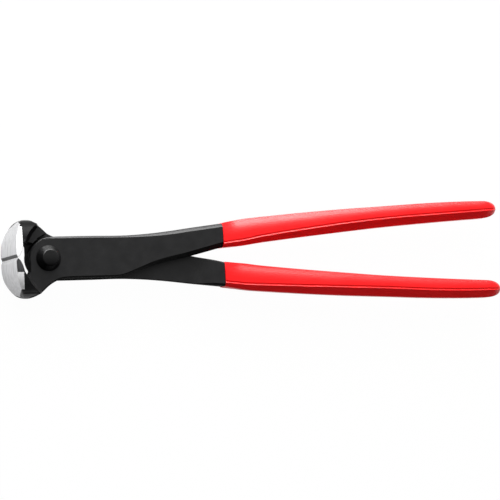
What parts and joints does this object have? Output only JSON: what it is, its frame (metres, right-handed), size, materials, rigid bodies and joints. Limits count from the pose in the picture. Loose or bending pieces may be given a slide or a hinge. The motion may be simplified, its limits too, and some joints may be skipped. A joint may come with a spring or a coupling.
{
  "type": "front cutting pliers",
  "caption": "Long-handled end-cutting pliers with wide face-on jaws, a lap joint on a raised rivet and dipped plastic grips.",
  "frame": {"origin": "centre of the rivet's rear face, on the pivot axis", "axes": "+X along the tool from the jaws to the handle ends, +Y across the handles towards the front lever's grip, +Z along the pivot axis towards the front lever"},
  "size_m": [0.2805, 0.0526, 0.025],
  "materials": {
    "lever_steel": "drop-forged steel with a satin black-oxide coat; the jaws' front faces and side lands are ground bright",
    "rivet_steel": "satin black-oxide, with a turned flank and a flat top",
    "grip_plastic": "glossy dipped plastic, smooth and bare"
  },
  "bodies": {
    "rear_half": {"rear_lever": "lever_steel", "rear_grip": "grip_plastic", "rivet": "rivet_steel"},
    "front_half": {"front_lever": "lever_steel", "front_grip": "grip_plastic"}
  },
  "joints": [
    {"name": "pivot", "type": "hinge", "parent": "rear_half", "child": "front_half", "pos_m": [0, 0, 0], "axis": [0, 0, 1], "range_deg": [0, 28]}
  ]
}
